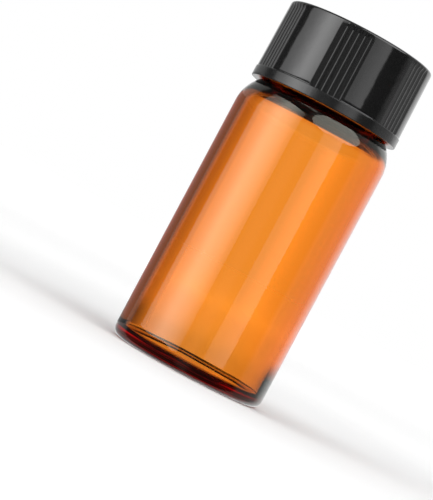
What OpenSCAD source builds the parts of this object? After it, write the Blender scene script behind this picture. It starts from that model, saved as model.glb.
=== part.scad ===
// Amber glass sample vial with a screw cap and a sealing disc

/* [Glass] */
// Outside diameter of the glass body
body_d = 22; // [18:0.5:30]
// Height of the glass from its foot to its lip
glass_h = 47.8; // [36:0.2:80]
// Thickness of the glass wall
wall = 1.1; // [0.7:0.05:1.6]
// Thickness of the floor at its middle
floor_t = 1.3; // [0.8:0.05:2.5]
// Rise of the inside floor from its edge to its middle
floor_crown_h = 0.2; // [0.05:0.05:0.5]
// Round between the inside floor and the wall
floor_round_r = 0.5; // [0.3:0.1:2]
// Round of the outside foot edge
heel_r = 1.2; // [0.6:0.1:2]
// Width of the flat ring that the vial stands on
foot_ring_w = 1.6; // [0.8:0.1:3]
// Depth of the shallow push-up under the foot
pushup_h = 0.35; // [0.1:0.05:0.8]
// Outside round of the shoulder
shoulder_r = 5.7; // [2.4:0.1:7]
// Inside round of the shoulder, where the glass thickens towards the neck
roof_r = 3; // [1.2:0.1:5]

/* [Neck] */
// How far the root of the neck's thread is set in from the side of the body
neck_inset = 3.2; // [2.8:0.1:5]
// Thickness of the neck's wall
neck_wall = 1.6; // [1.2:0.1:2.4]
// Fillet where the shoulder turns up into the neck
neck_fillet_r = 0.6; // [0.3:0.1:1]
// Round where the inside of the shoulder turns up into the mouth
mouth_round_r = 1; // [0.5:0.1:1.6]
// Round of both edges of the lip
lip_round_r = 0.5; // [0.2:0.05:0.6]

/* [Cap] */
// Height of the cap
cap_h = 11.1; // [8:0.1:16]
// Thickness of the cap's side at its plain band
skirt_t = 1.65; // [1.2:0.05:2.5]
// Room for the thread between the neck and the cap
thread_room = 1.25; // [0.8:0.05:1.6]
// Room between the shoulder and the foot of the cap
foot_gap = 0.2; // [0.1:0.05:1]
// Thickness of the cap's top
cap_top_t = 1.2; // [0.8:0.1:2]
// Height of the plain band
band_h = 1.4; // [0.8:0.1:2.5]
// How far the band stands out from the panels
band_step = 0.1; // [0.04:0.02:0.3]
// Round of the edges of the band
band_round_r = 0.1; // [0.05:0.05:0.3]
// Round of the cap's top edge
top_round_r = 0.4; // [0.2:0.05:0.6]
// How far the side draws in from the band to the top
draft = 0.12; // [0.02:0.02:0.3]
// Chamfer at the cap's mouth
lead_in = 0.5; // [0.2:0.1:0.8]

/* [Grip] */
// Number of ribbed fields round the cap
fields = 6; // [3:1:8]
// Angle that one ribbed field covers, in degrees
field_deg = 29; // [20:1:36]
// Number of ribs in a field
ribs = 5; // [3:1:7]
// Radius of a rib
rib_r = 0.2; // [0.15:0.01:0.3]
// Depth of a ribbed field below the panels
field_depth = 0.24; // [0.2:0.02:0.5]
// How far the ribs stay below the panels
rib_recess = 0.1; // [0.04:0.02:0.2]
// Plain rim between the ribbed fields and the top face
rim_h = 0.45; // [0.4:0.05:2]
// Turn of the first field from the right-hand side, in degrees
field_turn = 26.8; // [0:0.2:60]

/* [Liner] */
// Thickness of the sealing disc
liner_t = 1; // [0.5:0.1:1.6]
// Room round the sealing disc in the cap
liner_gap = 0.15; // [0.05:0.05:0.4]

/* [Hidden] */
$fn = 96;
// Steps in the arc of a small round
arc_steps = 8;
// Overrun of every cut past the face that it opens
over = 0.5;
body_r = body_d / 2;
inner_r = body_r - wall;
neck_r = body_r - neck_inset;
mouth_r = neck_r - neck_wall;
floor_z = pushup_h + floor_t;
floor_edge_z = floor_z - floor_crown_h;
foot_ring_r = body_r - heel_r - foot_ring_w;
// The cap stands on the sealing disc, and the disc on the lip
liner_top_z = glass_h + liner_t;
cap_top_z = liner_top_z + cap_top_t;
cap_z = cap_top_z - cap_h;
cap_bore_r = neck_r + thread_room;
// Height where both rounds of the shoulder start: the outside one rises into the cap's mouth
bore_reach = min(max(cap_bore_r - body_r + shoulder_r, 0), shoulder_r);
shoulder_z = cap_z + lead_in - foot_gap - sqrt(shoulder_r * shoulder_r - bore_reach * bore_reach);
// The inside round stays within the outside one
roof_fit_r = min(roof_r, shoulder_r - wall);
band_r = cap_bore_r + skirt_t;
panel_r = band_r - band_step;
panel_h = cap_h - band_h;
panel_top_r = panel_r - draft;
draft_deg = atan(draft / panel_h);
// Height of the ribbed fields and of their sloped end under the rim
field_h = panel_h - rim_h;
runout_h = field_depth;

// Points of an arc round a centre, from one angle to another
function arc(c, r, from, to) =
    [for (i = [0:arc_steps]) let (a = from + (to - from) * i / arc_steps) c + r * [cos(a), sin(a)]];

// A shallow dome's points, from its middle at height h out to its edge, both above z
function dome(edge_r, h, z) =
    let (r = (edge_r * edge_r + h * h) / (2 * h), end = asin(edge_r / r))
    arc([0, z + h - r], r, 90, 90 - end);

// The shoulder's line from the wall up to the neck: a round, then a fillet that meets it
function shoulder_line(r, side, neck, fillet) =
    let (c = [side - r, shoulder_z],
         reach = max(neck + fillet - c.x, 0),
         rise = sqrt((r + fillet) * (r + fillet) - reach * reach),
         meet = atan2(rise, reach),
         turn = arc([neck + fillet, shoulder_z + rise], fillet, meet + 180, 180))
    concat(arc(c, r, 0, meet), [for (i = [(reach > 0 ? 1 : 0):arc_steps]) turn[i]]);

function reversed(points) = [for (i = [len(points) - 1:-1:0]) points[i]];

// Radius of a panel at a height above the top of the band
function panel_r_at(h) = panel_r - draft * h / panel_h;

// Half section of the glass: up the outside, over the lip and down the inside
function glass_section() = concat(
    dome(foot_ring_r, pushup_h, 0),
    arc([body_r - heel_r, heel_r], heel_r, -90, 0),
    shoulder_line(shoulder_r, body_r, neck_r, neck_fillet_r),
    arc([neck_r - lip_round_r, glass_h - lip_round_r], lip_round_r, 0, 90),
    arc([mouth_r + lip_round_r, glass_h - lip_round_r], lip_round_r, 90, 180),
    reversed(shoulder_line(roof_fit_r, inner_r, mouth_r, mouth_round_r)),
    arc([inner_r - floor_round_r, floor_edge_z + floor_round_r], floor_round_r, 0, -90),
    reversed(dome(inner_r - floor_round_r, floor_crown_h, floor_edge_z)));

// Half section of the cap, hollow below its top, from its own foot up
function cap_section() = concat(
    [[cap_bore_r + lead_in, 0]],
    arc([band_r - band_round_r, band_round_r], band_round_r, -90, 0),
    arc([band_r - band_round_r, band_h - band_round_r], band_round_r, 0, 90),
    [[panel_r, band_h]],
    arc([panel_top_r - top_round_r, cap_h - top_round_r], top_round_r, 0, 90),
    [[0, cap_h], [0, cap_h - cap_top_t], [cap_bore_r, cap_h - cap_top_t], [cap_bore_r, lead_in]]);

// Section that sinks a ribbed field into the panels and slopes out under the rim
function field_section() = [
    [panel_r - field_depth, 0],
    [panel_r + over, 0],
    [panel_r_at(field_h) + over, field_h + over],
    [panel_r_at(field_h), field_h],
    [panel_r_at(field_h - runout_h) - field_depth, field_h - runout_h]];

// One upright rib, leaning in with the panels
module rib() {
    translate([panel_r - rib_recess - rib_r, 0, -band_round_r])
        rotate([0, -draft_deg, 0])
            cylinder(r = rib_r, h = field_h + band_round_r);
}

// One ribbed field's ribs, spread evenly across it
module rib_row() {
    pitch_deg = field_deg / (ribs + 1);
    for (i = [1:ribs])
        rotate([0, 0, i * pitch_deg - field_deg / 2])
            rib();
}

module vial() {
    color("#c8701c")
        rotate_extrude()
            polygon(glass_section());
}

module cap() {
    color("#1c1c1c")
        translate([0, 0, cap_z]) {
            difference() {
                rotate_extrude()
                    polygon(cap_section());
                for (i = [0:fields - 1])
                    translate([0, 0, band_h])
                        rotate([0, 0, field_turn + i * 360 / fields - field_deg / 2])
                            rotate_extrude(angle = field_deg)
                                polygon(field_section());
            }
            for (i = [0:fields - 1])
                translate([0, 0, band_h])
                    rotate([0, 0, field_turn + i * 360 / fields])
                        rib_row();
        }
}

module liner() {
    color("#ecebe4")
        translate([0, 0, glass_h])
            cylinder(r = cap_bore_r - liner_gap, h = liner_t);
}

vial();
cap();
liner();
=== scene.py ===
import math

import bmesh
import bpy
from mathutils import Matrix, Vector, noise


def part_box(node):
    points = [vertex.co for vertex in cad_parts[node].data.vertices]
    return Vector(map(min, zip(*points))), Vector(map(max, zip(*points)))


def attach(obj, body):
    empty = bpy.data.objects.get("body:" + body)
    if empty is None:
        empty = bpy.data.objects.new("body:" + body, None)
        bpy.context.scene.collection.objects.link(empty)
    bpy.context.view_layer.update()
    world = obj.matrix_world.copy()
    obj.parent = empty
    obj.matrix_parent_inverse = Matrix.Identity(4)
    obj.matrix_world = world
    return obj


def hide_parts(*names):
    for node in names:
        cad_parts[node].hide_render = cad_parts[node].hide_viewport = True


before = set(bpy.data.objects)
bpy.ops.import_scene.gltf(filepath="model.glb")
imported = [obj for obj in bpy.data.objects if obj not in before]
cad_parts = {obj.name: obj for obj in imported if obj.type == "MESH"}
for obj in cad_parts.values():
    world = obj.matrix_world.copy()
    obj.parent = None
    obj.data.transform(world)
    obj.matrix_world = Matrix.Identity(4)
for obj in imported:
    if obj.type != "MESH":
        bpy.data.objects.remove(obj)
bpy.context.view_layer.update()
mm = 0.001  # the frame is in metres, the settings below are in millimetres
close = 0.01  # how near in mm a radius counts as the same
scene = bpy.context.scene
scene.view_settings.view_transform = "Standard"


def boxMm(node):
    low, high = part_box(node)
    return Vector(low) / mm, Vector(high) / mm


vialHigh = boxMm("vial")[1]
capLow, capHigh = boxMm("cap")
linerLow, linerHigh = boxMm("liner")
print("frame: vial to", round(vialHigh.z, 2), "cap from", round(capLow.z, 2), "to", round(capHigh.z, 2))


# small tools

def toLinear(hexText):
    parts = [int(hexText[i:i + 2], 16) / 255 for i in (1, 3, 5)]
    return tuple(p / 12.92 if p <= 0.04045 else ((p + 0.055) / 1.055) ** 2.4 for p in parts) + (1.0,)


def addNode(tree, kind, settings=None, links=None):
    node = tree.nodes.new("ShaderNode" + kind)
    for name, value in (settings or {}).items():
        if isinstance(name, str) and hasattr(node, name):
            setattr(node, name, value)
        else:
            node.inputs[name].default_value = value
    for name, socket in (links or {}).items():
        tree.links.new(socket, node.inputs[name])
    return node


def newMaterial(name):
    material = bpy.data.materials.new(name)
    material.use_nodes = True
    material.node_tree.nodes.clear()
    return material, material.node_tree


def arc(center, radius, fromDeg, toDeg, steps):
    points = []
    for i in range(steps + 1):
        a = math.radians(fromDeg + (toDeg - fromDeg) * i / steps)
        points.append((center[0] + radius * math.cos(a), center[1] + radius * math.sin(a)))
    return points


def dome(edgeR, height, z, steps):
    # a shallow dome from its middle out to its edge
    radius = (edgeR ** 2 + height ** 2) / (2 * height)
    end = math.degrees(math.asin(edgeR / radius))
    return arc((0, z + height - radius), radius, 90, 90 - end, steps)


def line(start, end, steps):
    return [(start[0] + (end[0] - start[0]) * i / steps, start[1] + (end[1] - start[1]) * i / steps)
            for i in range(1, steps)]


def smooth(x):
    x = min(max(x, 0.0), 1.0)
    return x * x * (3 - 2 * x)


def turnedPiece(name, profile, angles, radiusAt):
    # spins a half section that starts and ends on the axis; radiusAt shapes each ring
    bm = bmesh.new()
    first = bm.verts.new((0, 0, profile[0][1] * mm))
    last = bm.verts.new((0, 0, profile[-1][1] * mm))
    rings = []
    for row, (r, z) in enumerate(profile[1:-1], 1):
        ring = []
        for a in angles:
            rr, zz = radiusAt(row, r, z, a)
            ring.append(bm.verts.new((rr * math.cos(a) * mm, rr * math.sin(a) * mm, zz * mm)))
        rings.append(ring)
    n = len(angles)
    for i in range(n):
        j = (i + 1) % n
        bm.faces.new((first, rings[0][i], rings[0][j]))
        for a, b in zip(rings, rings[1:]):
            bm.faces.new((a[i], b[i], b[j], a[j]))
        bm.faces.new((rings[-1][i], last, rings[-1][j]))
    bmesh.ops.recalc_face_normals(bm, faces=bm.faces)
    for face in bm.faces:
        face.smooth = True
    mesh = bpy.data.meshes.new(name)
    bm.to_mesh(mesh)
    bm.free()
    piece = bpy.data.objects.new(name, mesh)
    scene.collection.objects.link(piece)
    return piece


def evenAngles(count):
    return [2 * math.pi * i / count for i in range(count)]


# screw thread, right-handed, shared by the neck and the cap

thread = {
    "pitch": 3.175,
    "neckTop": 1.45,  # centre of the neck's ridge below the lip, at its start
    "neckTurns": 1.3,
    "neckHeight": 1.05,
    "neckHalfWidth": 1.15,
    "capTurns": 1.2,
    "capHeight": 0.85,
    "capHalfWidth": 0.95,
    "fadeDeg": 35,  # how fast a ridge rises out of the wall at its ends
    "sharpness": 1.4,  # 1 is a round ridge, more is a more pointed one
}


def ridgeAt(a, z, zEnd, turns, halfWidth):
    # height of a helical ridge, 0 to 1, that runs down from zEnd at angle 0
    best = 0.0
    for k in range(int(turns) + 2):
        along = k * 2 * math.pi + (2 * math.pi - a)  # unwound downwards from the start
        if along > turns * 2 * math.pi:
            continue
        off = (z - (zEnd - thread["pitch"] * along / (2 * math.pi))) / halfWidth
        if abs(off) >= 1:
            continue
        fade = math.radians(thread["fadeDeg"])
        ends = smooth(along / fade) * smooth((turns * 2 * math.pi - along) / fade)
        best = max(best, math.cos(off * math.pi / 2) ** thread["sharpness"] * ends)
    return best


# black screw cap

cap = {
    "band": 1.4,
    "bandStep": 0.1,
    "bandRound": 0.1,
    "bandDull": 0.12,  # the band and the inside are less polished than the panels
    "insideDull": 0.5,
    "topRound": 0.4,
    "draft": 0.12,
    "topWall": 1.2,
    "boreR": 9.05,
    "leadIn": 0.5,
    "fields": 6,
    "fieldDeg": 29,
    "fieldTurn": 26.8,
    "flatFrom": -15.2,  # a field is a flat across the round side, with the ribs on it; in degrees
    "flatTo": 11.2,
    "flatEdge": 0.6,  # spacing of the mesh at the ends of a flat, in degrees
    "ribs": 5,
    "ribHeight": 0.033,
    "ribHalfWidth": 0.25,
    "rim": 0.15,
    "runOut": 0.9,  # height over which a flat sinks in below the rim
    "ribRunOut": 0.4,  # and over which the ribs rise on it
    "seamDepth": 0.035,  # fine line that the mould leaves above the band
    "seamWidth": 0.2,
    # how finely it is drawn: points across a rib in half widths, rings as shares of a face, steps of a line
    "ribAcross": (-1.4, -1.15, -1.0, -0.85, -0.6, -0.3, 0.0, 0.3, 0.6, 0.85, 1.0, 1.15, 1.4),
    "topRings": (0.3, 0.6, 0.85, 0.95),
    "roofRings": (0.97, 0.8, 0.4),
    "steps": {"panel": 14, "top": 10, "runOut": 8, "side": 8, "seam": 6, "edge": 6, "band": 4, "bore": 44},
    "black": "#121212",
    "gloss": (0.08, 0.12),  # least and most roughness of the polished sides
    "flowSize": 1.5,  # of the faint marks that the flow of the resin leaves
    "flowDepth": 0.02,
}
capFoot = capLow.z
capTop = capHigh.z
bandR = capHigh.x
panelR = bandR - cap["bandStep"]
bandTop = capFoot + cap["band"]


# amber vial

vial = {
    "wall": 1.1,
    "floor": 1.3,
    "floorCrown": 0.2,
    "floorRound": 0.5,
    "heel": 1.2,
    "footRing": 1.6,
    "pushUp": 0.35,
    "shoulder": 5.7,
    "shoulderGap": 0.2,  # room that the shoulder leaves in the cap's mouth
    "roofRound": 2.8,  # inside of the shoulder, tighter than its outside
    "roofUp": 0.4,  # how far above the outside round it starts
    "roofLean": 46,  # of the cone that leads from it to the mouth, in degrees from upright
    "neckR": 7.8,
    "neckWall": 1.6,
    "neckFillet": 0.6,
    "mouthRound": 1.0,
    "lipRound": 0.5,
    "waver": 0.012,  # unevenness that flame-working leaves at the foot and the shoulder
    "waverScale": 0.22,  # waves in a millimetre
    "footWaver": 2,  # height up to which the foot has all of it
    "footFade": 4,  # height over which it then fades
    "shoulderFade": 2,  # height over which it comes back below the shoulder
    "evenNeck": 8,  # length below the lip that has none
    "segments": 320,  # how finely it is drawn: round the axis, and along each line of the section
    "steps": {"foot": 10, "heel": 14, "wall": 14, "shoulder": 24, "neck": 60, "lip": 10,
              "mouth": 8, "roof": 20, "corner": 16},
    "amber": "#fcd41c",  # what the glass leaves of white light over one density length
    "density": 1700,
    "glossTint": (1.15, 1.15, 1.0, 1),  # its gloss is a little warm
}
bodyR = vialHigh.x
lipZ = vialHigh.z


def shoulderHeight():
    # where the shoulder starts, so that it rises into the chamfered mouth of the cap
    reach = cap["boreR"] - (bodyR - vial["shoulder"])
    rise = math.sqrt(vial["shoulder"] ** 2 - reach ** 2)
    return capFoot + cap["leadIn"] - vial["shoulderGap"] - rise


shoulderZ = shoulderHeight()


def shoulderLine(radius, wallR, neckR, fillet, steps):
    # a round that meets the fillet under the neck
    centreR = wallR - radius
    reach = neckR + fillet - centreR
    rise = math.sqrt((radius + fillet) ** 2 - reach ** 2)
    meet = math.degrees(math.atan2(rise, reach))
    up = arc((centreR, shoulderZ), radius, 0, meet, steps)
    turn = arc((neckR + fillet, shoulderZ + rise), fillet, meet + 180, 180, steps // 2)
    return up + turn[1:]


def roofLine(innerR, mouthR, fillet, steps):
    # inside of the shoulder: a round, a short cone and the fillet under the mouth
    lean = math.radians(vial["roofLean"])
    centre = (innerR - vial["roofRound"], shoulderZ + vial["roofUp"])
    away = math.cos(lean) * centre[0] + math.sin(lean) * centre[1] + vial["roofRound"]
    top = (away + fillet - math.cos(lean) * (mouthR + fillet)) / math.sin(lean)
    up = arc(centre, vial["roofRound"], 0, vial["roofLean"], steps)
    turn = arc((mouthR + fillet, top), fillet, vial["roofLean"] + 180, 180, steps // 2)
    return up + line(up[-1], turn[0], steps // 2) + turn


def vialProfile():
    v = vial
    n = v["steps"]
    innerR = bodyR - v["wall"]
    mouthR = v["neckR"] - v["neckWall"]
    floorEdge = v["pushUp"] + v["floor"] - v["floorCrown"]
    # up the outside to the lip
    outside = dome(bodyR - v["heel"] - v["footRing"], v["pushUp"], 0, n["foot"])
    outside += arc((bodyR - v["heel"], v["heel"]), v["heel"], -90, 0, n["heel"])
    outside += line((bodyR, v["heel"]), (bodyR, shoulderZ), n["wall"])
    outside += shoulderLine(v["shoulder"], bodyR, v["neckR"], v["neckFillet"], n["shoulder"])
    lip = arc((v["neckR"] - v["lipRound"], lipZ - v["lipRound"]), v["lipRound"], 0, 90, n["lip"])
    outside += line(outside[-1], lip[0], n["neck"]) + lip
    # down the inside to the middle of the floor
    inside = arc((mouthR + v["lipRound"], lipZ - v["lipRound"]), v["lipRound"], 90, 180, n["lip"])
    roof = roofLine(innerR, mouthR, v["mouthRound"], n["roof"])[::-1]
    inside += line(inside[-1], roof[0], n["mouth"]) + roof
    cornerC = (innerR - v["floorRound"], floorEdge + v["floorRound"])
    corner = arc(cornerC, v["floorRound"], 0, -90, n["corner"])
    inside += line(roof[-1], corner[0], n["wall"]) + corner
    inside += dome(innerR - v["floorRound"], v["floorCrown"], floorEdge, n["foot"])[::-1]
    return outside, inside


def makeVial():
    outside, inside = vialProfile()
    ridgeTop = lipZ - thread["neckTop"]

    def radiusAt(row, r, z, a):
        spot = Vector((r * math.cos(a), r * math.sin(a), z))
        nearFoot = 1 - smooth((z - vial["footWaver"]) / vial["footFade"])
        nearShoulder = smooth((z - shoulderZ + vial["shoulderFade"]) / vial["shoulderFade"])
        worked = nearFoot + nearShoulder * (z < lipZ - vial["evenNeck"])
        wave = vial["waver"] * worked * noise.noise(spot * vial["waverScale"])
        rise = 0.0
        if row < len(outside):
            if r < bodyR - vial["heel"] and close < z < vial["pushUp"]:
                wave = 0.0  # the push-up under the foot is even
            if abs(r - vial["neckR"]) < close:
                rise = ridgeAt(a, z, ridgeTop, thread["neckTurns"], thread["neckHalfWidth"])
        return min(r + wave + rise * thread["neckHeight"], bodyR), z

    return turnedPiece("amber_vial", outside + inside, evenAngles(vial["segments"]), radiusAt)


# the cap's side

def capAngles():
    # close together over the ribs, wide apart over the panels
    edge = cap["flatEdge"]
    sector = [cap["flatFrom"] + edge * i for i in (-1, 0, 1)]
    pitch = cap["fieldDeg"] / (cap["ribs"] + 1)
    across = [math.degrees(cap["ribHalfWidth"] / panelR) * u for u in cap["ribAcross"]]
    for rib in range(cap["ribs"]):
        crest = pitch * (rib - (cap["ribs"] - 1) / 2)
        sector += [crest + s for s in across]
    sector += [cap["flatTo"], cap["flatTo"] + edge]
    sector.sort()
    panel = 360 / cap["fields"] + sector[0] - sector[-1]
    steps = cap["steps"]["panel"]
    sector += [sector[-1] + panel * i / steps for i in range(1, steps)]
    turns = [cap["fieldTurn"] + k * 360 / cap["fields"] for k in range(cap["fields"])]
    return [math.radians(t + s) for t in turns for s in sector]


def gripDepth(a):
    # how far a flat lies below the round of the panels at this angle, and the rib on it
    step = 360 / cap["fields"]
    s = (math.degrees(a) - cap["fieldTurn"] + step / 2) % step - step / 2
    if not cap["flatFrom"] < s < cap["flatTo"]:
        return 0.0, 0.0
    middle = (cap["flatFrom"] + cap["flatTo"]) / 2
    half = (cap["flatTo"] - cap["flatFrom"]) / 2
    depth = panelR * (1 - math.cos(math.radians(half)) / math.cos(math.radians(s - middle)))
    pitch = cap["fieldDeg"] / (cap["ribs"] + 1)
    nearest = max(min(round(s / pitch), cap["ribs"] // 2), -(cap["ribs"] // 2))
    u = math.radians(s - pitch * nearest) * panelR / cap["ribHalfWidth"]
    return depth, cap["ribHeight"] * max(1 - u * u, 0.0)


def capProfile():
    c = cap
    n = c["steps"]
    # from the middle of the top out to its edge
    sideTop = capTop - c["topRound"]
    topR = panelR - c["draft"]
    rows = [(0, capTop)] + [((topR - c["topRound"]) * s, capTop) for s in c["topRings"]]
    rows += arc((topR - c["topRound"], sideTop), c["topRound"], 90, 0, n["top"])
    # down the side and round the band
    flatFull = sideTop - c["runOut"]
    seamTop = bandTop + c["seamWidth"]
    side = [sideTop - c["runOut"] * i / n["runOut"] for i in range(1, n["runOut"] + 1)]
    side += [flatFull - (flatFull - seamTop) * i / n["side"] for i in range(1, n["side"] + 1)]
    side += [bandTop + c["seamWidth"] * (1 - i / n["seam"]) for i in range(1, n["seam"])]
    rows += [(panelR - c["draft"] * (z - bandTop) / (capTop - bandTop), z) for z in side]
    rows += [(panelR, bandTop)]
    rows += arc((bandR - c["bandRound"], bandTop - c["bandRound"]), c["bandRound"], 90, 0, n["edge"])
    rows += line((bandR, bandTop), (bandR, capFoot), n["band"])
    rows += arc((bandR - c["bandRound"], capFoot + c["bandRound"]), c["bandRound"], 0, -90, n["edge"])
    # up the inside and in to the middle of its roof
    mouthR = c["boreR"] + c["leadIn"]
    boreFoot = (c["boreR"], capFoot + c["leadIn"])
    boreTop = (c["boreR"], capTop - c["topWall"])
    rows += line((bandR, capFoot), (mouthR, capFoot), n["band"])
    rows += [(mouthR, capFoot), (c["boreR"] + c["leadIn"] / 2, capFoot + c["leadIn"] / 2)]
    rows += [boreFoot] + line(boreFoot, boreTop, n["bore"]) + [boreTop]
    rows += [(c["boreR"] * s, boreTop[1]) for s in c["roofRings"]] + [(0, boreTop[1])]
    return rows


def makeCap():
    fieldTop = capTop - cap["rim"]
    # half a pitch below the neck's ridge, so that the two interlock
    ridgeTop = lipZ - thread["neckTop"] - thread["pitch"] / 2

    def radiusAt(row, r, z, a):
        if r > cap["boreR"] + cap["leadIn"] and bandTop <= z <= fieldTop and r <= panelR + close:
            flat, rib = gripDepth(a)
            down = fieldTop - z
            depth = flat * smooth(down / cap["runOut"]) - rib * smooth(down / cap["ribRunOut"])
            low = (z - bandTop) / cap["seamWidth"]
            seam = cap["seamDepth"] * (1 - abs(2 * low - 1)) if 0 < low < 1 else 0.0
            return r - max(depth, seam), z
        if abs(r - cap["boreR"]) < close:
            rise = ridgeAt(a % (2 * math.pi), z, ridgeTop, thread["capTurns"], thread["capHalfWidth"])
            return r - thread["capHeight"] * rise, z
        return r, z

    return turnedPiece("screw_cap", capProfile(), capAngles(), radiusAt)


# sealing disc

liner = {
    "edgeRound": 0.15,
    "edgeSteps": 5,
    "rings": (0.4, 0.8),
    "segments": 128,
    "cell": 0.4,
    "cellDepth": 0.05,
    # colours of a cell's hollow and of its rim: the darker hollow is painted shade
    "cellShadeColours": ("#e4e2da", "#f2f1ec"),
}


def makeLiner():
    r = linerHigh.x
    e = liner["edgeRound"]
    rows = [(0, linerHigh.z)] + [((r - e) * s, linerHigh.z) for s in liner["rings"]]
    rows += arc((r - e, linerHigh.z - e), e, 90, 0, liner["edgeSteps"])
    rows += arc((r - e, linerLow.z + e), e, 0, -90, liner["edgeSteps"])
    rows += [((r - e) * s, linerLow.z) for s in liner["rings"][::-1]] + [(0, linerLow.z)]
    return turnedPiece("sealing_disc", rows, evenAngles(liner["segments"]), lambda row, r, z, a: (r, z))


# materials

def amberGlass():
    # soda-lime glass melted with iron and sulphur, flame-worked from tube:
    # clear and glossy, orange through two walls, deep brown where the path through it is long
    material, tree = newMaterial("amber_soda_lime_glass")
    glass = addNode(tree, "BsdfPrincipled", {
        "Base Color": (1, 1, 1, 1), "Roughness": 0.0, "IOR": 1.52, "Transmission Weight": 1.0,
        "Specular Tint": vial["glossTint"]})
    amber = addNode(tree, "VolumeAbsorption", {
        "Color": toLinear(vial["amber"]), "Density": vial["density"]})
    addNode(tree, "OutputMaterial", {}, {"Surface": glass.outputs[0], "Volume": amber.outputs[0]})
    return material


def blackPhenolic():
    # phenolic resin pressed in a polished mould: black with a soft gloss and faint flow marks
    material, tree = newMaterial("black_phenolic_resin")
    spot = addNode(tree, "TexCoord")
    flow = addNode(tree, "TexNoise", {"Scale": 1 / (cap["flowSize"] * mm), "Detail": 1.0}, {
        "Vector": spot.outputs["Object"]})
    least, most = cap["gloss"]
    gloss = addNode(tree, "MapRange", {"To Min": least, "To Max": most}, {"Value": flow.outputs[0]})
    # the band is a little duller, and the inside much duller
    height = addNode(tree, "SeparateXYZ", {}, {0: spot.outputs["Object"]})
    band = addNode(tree, "Math", {"operation": "LESS_THAN", 1: bandTop * mm}, {0: height.outputs["Z"]})
    dull = addNode(tree, "Math", {"operation": "MULTIPLY_ADD", 1: cap["bandDull"]}, {
        0: band.outputs[0], 2: gloss.outputs[0]})
    plan = addNode(tree, "VectorMath", {"operation": "MULTIPLY", 1: (1, 1, 0)}, {0: spot.outputs["Object"]})
    reach = addNode(tree, "VectorMath", {"operation": "LENGTH"}, {0: plan.outputs[0]})
    bore = addNode(tree, "Math", {"operation": "LESS_THAN", 1: (cap["boreR"] + cap["leadIn"] / 2) * mm}, {
        0: reach.outputs["Value"]})
    under = addNode(tree, "Math", {"operation": "LESS_THAN", 1: (capTop - cap["topWall"] / 2) * mm}, {
        0: height.outputs["Z"]})
    inside = addNode(tree, "Math", {"operation": "MULTIPLY"}, {0: bore.outputs[0], 1: under.outputs[0]})
    rough = addNode(tree, "Math", {"operation": "MULTIPLY_ADD", 1: cap["insideDull"]}, {
        0: inside.outputs[0], 2: dull.outputs[0]})
    bump = addNode(tree, "Bump", {"Strength": 1.0, "Distance": cap["flowDepth"] * mm}, {
        "Height": flow.outputs[0]})
    body = addNode(tree, "BsdfPrincipled", {"Base Color": toLinear(cap["black"]), "IOR": 1.62}, {
        "Roughness": rough.outputs[0], "Normal": bump.outputs[0]})
    addNode(tree, "OutputMaterial", {}, {"Surface": body.outputs[0]})
    return material


def paleFoam():
    # foamed polyethylene sheet, cut to a disc: matt off-white with fine cells, each painted darker towards
    # its middle, where the bump sinks it in: painted shade in the cell hollows
    material, tree = newMaterial("foamed_polyethylene")
    spot = addNode(tree, "TexCoord")
    cells = addNode(tree, "TexVoronoi", {"Scale": 1 / (liner["cell"] * mm)}, {
        "Vector": spot.outputs["Object"]})
    # painted shade: each cell is darker towards its middle, where the bump below makes a hollow
    cellShade = addNode(tree, "ValToRGB", {}, {"Fac": cells.outputs["Distance"]})
    for element, colour in zip(cellShade.color_ramp.elements, liner["cellShadeColours"]):
        element.color = toLinear(colour)
    bump = addNode(tree, "Bump", {"Strength": 0.3, "Distance": liner["cellDepth"] * mm}, {
        "Height": cells.outputs["Distance"]})
    body = addNode(tree, "BsdfPrincipled", {"Roughness": 0.6, "IOR": 1.5}, {
        "Base Color": cellShade.outputs[0], "Normal": bump.outputs[0]})
    addNode(tree, "OutputMaterial", {}, {"Surface": body.outputs[0]})
    return material


# the three pieces

for piece, node, finish in ((makeVial(), "vial", amberGlass()), (makeCap(), "cap", blackPhenolic()),
                            (makeLiner(), "liner", paleFoam())):
    piece.data.materials.append(finish)
    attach(piece, node)
    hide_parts(node)
    print("made", piece.name, len(piece.data.polygons), "faces")


# studio

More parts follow.
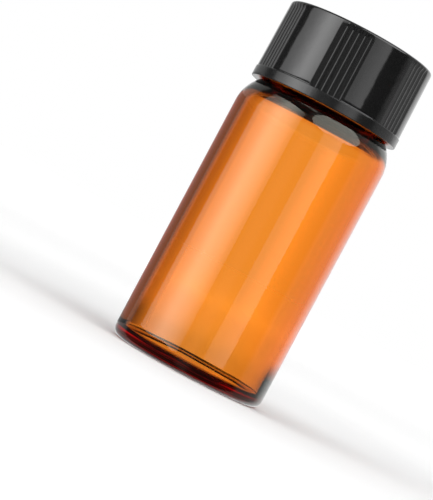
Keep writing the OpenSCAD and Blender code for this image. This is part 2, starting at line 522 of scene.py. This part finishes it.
flagFade = ((0.0, 0.2), (0.26, 0.22), (0.47, 0.26), (0.66, 0.28), (0.85, 0.42), (1.0, 0.95))
studio = {
    "floorSize": 6000,
    "floorDrop": 0.03,  # just under the foot
    "floorColour": "#ececec",
    # by the distance from the vial in metres: how much the paper glows to the eye,
    # and how dark it is to light that was reflected within the glass
    "floorGlow": ((0.0, 0.02), (0.05, 0.1), (0.15, 0.26), (0.5, 0.56)),
    "floorShade": ((0.0, 1.0), (0.08, 1.0), (0.2, 0.0)),
    "stripR": 13.5,  # dark strip round the foot
    "stripHeight": 1.5,
    "stripColour": "#2a2a2a",
    "roundCorners": 64,  # of the strip and of a round card
    "ambient": 0.55,  # what the white room gives to matt surfaces
    # what gloss mirrors of the room, round the vial from the left by the front and the right to the back
    "roomTone": ((0.0, 0.07), (0.19, 0.07), (0.21, 0.2), (0.245, 0.2), (0.265, 0.06), (0.455, 0.04),
                 (0.475, 0.36), (0.52, 0.42), (0.6, 0.5), (0.63, 1.0), (0.66, 1.1), (0.77, 1.0),
                 (0.8, 0.75), (0.83, 0.5), (0.9, 0.45), (0.92, 0.4), (0.935, 0.07)),
    "skyTone": ((0.0, 1.0), (0.25, 1.0), (0.45, 0.15)),  # the white ends a little above eye level
    # through False hides a card from what is seen through glass, mirrored False from what gloss mirrors
    "cards": [
        {"name": "left_softbox", "spot": (-377, -245, 235), "aim": 235, "size": (630, 532), "level": 4.0,
         "fade": ((0.0, 0.18), (0.08, 0.28), (0.17, 0.48), (0.28, 0.7), (0.39, 0.88), (0.49, 1.0),
                  (0.59, 0.72), (0.69, 0.52), (0.8, 0.38), (1.0, 0.28))},
        {"name": "top_softbox", "spot": (190, -271, 340), "aim": 36, "size": (620, 400), "level": 2.8,
         "round": True, "through": False, "fade": ((0.0, 1.0), (0.5, 1.0), (1.0, 0.8))},
        {"name": "ceiling_strip", "spot": (-126, -161, 437), "aim": 36, "size": (210, 34), "level": 2.0,
         "through": False, "fade": ((0.0, 0.4), (0.5, 1.0), (1.0, 0.8))},
        {"name": "right_fill", "spot": (220, -392, 97), "aim": 97, "size": (250, 246), "level": 1.4,
         "fade": ((0.0, 0.9), (0.15, 1.0), (0.5, 0.8), (1.0, 0.5))},
        # grey cards behind the left edge, so that the glass ends there in a dark line
        {"name": "left_flag", "spot": (-24.9, 28.9, 20.5), "aim": 20.5, "size": (34, 42), "level": 1.0,
         "grey": True, "fade": flagFade},
        {"name": "left_flag_top", "spot": (-24.9, 28.9, 54), "aim": 54, "size": (34, 25), "level": 1.0,
         "grey": True, "mirrored": False, "fade": flagFade},
    ],
}


def toneRamp(tree, stops, fac, smoothing):
    ramp = addNode(tree, "ValToRGB", {}, {"Fac": fac})
    ramp.color_ramp.interpolation = smoothing
    while len(ramp.color_ramp.elements) < len(stops):
        ramp.color_ramp.elements.new(0.5)
    for element, (at, tone) in zip(ramp.color_ramp.elements, stops):
        element.position = at
        element.color = (tone, tone, tone, 1)
    return ramp.outputs[0]


def addPlane(name, width, height, spot, target, material, corners=4):
    # a card at spot that faces target, round if it has many corners
    mesh = bpy.data.meshes.new(name)
    reach = math.sqrt(2) if corners == 4 else 1.0  # a square's corners lie past its sides
    halfWidth = width * mm / 2 * reach
    halfHeight = height * mm / 2 * reach
    turns = [2 * math.pi * (i + 0.5) / corners for i in range(corners)]
    rim = [(halfWidth * math.cos(t), halfHeight * math.sin(t), 0) for t in turns]
    mesh.from_pydata(rim, [], [tuple(range(corners))])
    card = bpy.data.objects.new(name, mesh)
    scene.collection.objects.link(card)
    card.location = Vector(spot) * mm
    card.rotation_euler = (Vector(target) - Vector(spot)).to_track_quat("Z", "Y").to_euler()
    mesh.materials.append(material)
    return card


def floorPaper():
    # white paper that glows a little to the eye, so it stays white and still takes a shadow
    material, tree = newMaterial("white_paper")
    path = addNode(tree, "LightPath")
    paper = addNode(tree, "BsdfDiffuse", {"Color": toLinear(studio["floorColour"])})
    seen = addNode(tree, "Math", {"operation": "MAXIMUM"}, {
        0: path.outputs["Is Camera Ray"], 1: path.outputs["Is Transmission Ray"]})
    spot = addNode(tree, "TexCoord")
    away = addNode(tree, "VectorMath", {"operation": "LENGTH"}, {0: spot.outputs["Object"]})
    glowing = toneRamp(tree, studio["floorGlow"], away.outputs["Value"], "EASE")
    level = addNode(tree, "Math", {"operation": "MULTIPLY"}, {0: seen.outputs[0], 1: glowing})
    glow = addNode(tree, "Emission", {}, {"Strength": level.outputs[0]})
    both = addNode(tree, "AddShader", {}, {0: paper.outputs[0], 1: glow.outputs[0]})
    # near the vial it is dark to light that was reflected within the glass, whose edges stay dark so
    caught = addNode(tree, "Math", {"operation": "GREATER_THAN", 1: 0.5}, {0: path.outputs["Glossy Depth"]})
    near = toneRamp(tree, studio["floorShade"], away.outputs["Value"], "EASE")
    shade = addNode(tree, "Math", {"operation": "MULTIPLY"}, {0: caught.outputs[0], 1: near})
    dark = addNode(tree, "BsdfDiffuse", {"Color": toLinear("#000000")})
    shown = addNode(tree, "MixShader", {}, {
        0: shade.outputs[0], 1: both.outputs[0], 2: dark.outputs[0]})
    addNode(tree, "OutputMaterial", {}, {"Surface": shown.outputs[0]})
    return material


def softboxCloth(box):
    # diffusing cloth or card with a light of its own, which fades across it
    material, tree = newMaterial(box["name"] + "_cloth")
    spot = addNode(tree, "TexCoord")
    across = addNode(tree, "SeparateXYZ", {}, {0: spot.outputs["Generated"]})
    fade = toneRamp(tree, box["fade"], across.outputs["X"], "B_SPLINE")
    light = addNode(tree, "Emission", {"Strength": box["level"]}, {"Color": fade})
    addNode(tree, "OutputMaterial", {}, {"Surface": light.outputs[0]})
    return material


floor = addPlane("floor", studio["floorSize"], studio["floorSize"], (0, 0, -studio["floorDrop"]), (0, 0, 1),
                 floorPaper())
floor.visible_glossy = False  # so that the softbox shows in the glass down to the foot


def footStrip():
    # dark paper strip round the foot, seen only through the glass, which makes its thick floor a dark line
    material, tree = newMaterial("dark_paper")
    paper = addNode(tree, "Emission", {"Color": toLinear(studio["stripColour"])})
    addNode(tree, "OutputMaterial", {}, {"Surface": paper.outputs[0]})
    r = studio["stripR"] * mm
    angles = evenAngles(studio["roundCorners"])
    bm = bmesh.new()
    low = [bm.verts.new((math.cos(a) * r, math.sin(a) * r, 0)) for a in angles]
    high = [bm.verts.new((v.co.x, v.co.y, studio["stripHeight"] * mm)) for v in low]
    for i in range(len(angles)):
        j = (i + 1) % len(angles)
        bm.faces.new((low[i], low[j], high[j], high[i]))
    mesh = bpy.data.meshes.new("foot_strip")
    bm.to_mesh(mesh)
    bm.free()
    mesh.materials.append(material)
    strip = bpy.data.objects.new("foot_strip", mesh)
    scene.collection.objects.link(strip)
    strip.visible_camera = False
    strip.visible_diffuse = False
    strip.visible_glossy = False
    strip.visible_shadow = False


footStrip()
for box in studio["cards"]:
    card = addPlane(box["name"], *box["size"], box["spot"], (0, 0, box["aim"]), softboxCloth(box),
                    studio["roundCorners"] if box.get("round") else 4)
    card.visible_camera = False
    card.visible_transmission = box.get("through", True)
    card.visible_glossy = box.get("mirrored", True)
    if box.get("grey"):
        card.visible_diffuse = False
        card.visible_shadow = False


def whiteRoom():
    # white to the eye and through glass; gloss mirrors its dim front and its white back
    world = bpy.data.worlds.new("white_room")
    world.use_nodes = True
    tree = world.node_tree
    tree.nodes.clear()
    path = addNode(tree, "LightPath")
    spot = addNode(tree, "TexCoord")
    around = addNode(tree, "TexGradient", {"gradient_type": "RADIAL"}, {"Vector": spot.outputs["Generated"]})
    up = addNode(tree, "SeparateXYZ", {}, {0: spot.outputs["Generated"]})
    tone = toneRamp(tree, studio["roomTone"], around.outputs["Fac"], "LINEAR")
    sky = toneRamp(tree, studio["skyTone"], up.outputs["Z"], "EASE")
    mirrored = addNode(tree, "MapRange", {"To Min": studio["ambient"]}, {
        "Value": path.outputs["Is Glossy Ray"], "To Max": tone})
    glassy = addNode(tree, "MapRange", {}, {
        "Value": path.outputs["Is Transmission Ray"], "To Min": mirrored.outputs[0], "To Max": sky})
    level = addNode(tree, "MapRange", {"To Max": 1.0}, {
        "Value": path.outputs["Is Camera Ray"], "To Min": glassy.outputs[0]})
    room = addNode(tree, "Background", {"Color": (1, 1, 1, 1)}, {"Strength": level.outputs[0]})
    addNode(tree, "OutputWorld", {}, {"Surface": room.outputs[0]})
    return world


scene.world = whiteRoom()
print("studio ready")

# camera, level with the lower body and rolled, as the photograph leans

camera = {
    "spot": (-3.81, -260.9, 16.1),
    "rollDeg": -28.1,
    "lens": 141.5,
    "sensor": 36.0,
}
lensData = bpy.data.cameras.new("camera")
lensData.lens = camera["lens"]
lensData.sensor_width = camera["sensor"]
lensData.clip_start = 1 * mm
eye = bpy.data.objects.new("camera", lensData)
scene.collection.objects.link(eye)
eye.location = Vector(camera["spot"]) * mm
eye.rotation_euler = (math.radians(90), math.radians(camera["rollDeg"]), 0)
scene.camera = eye
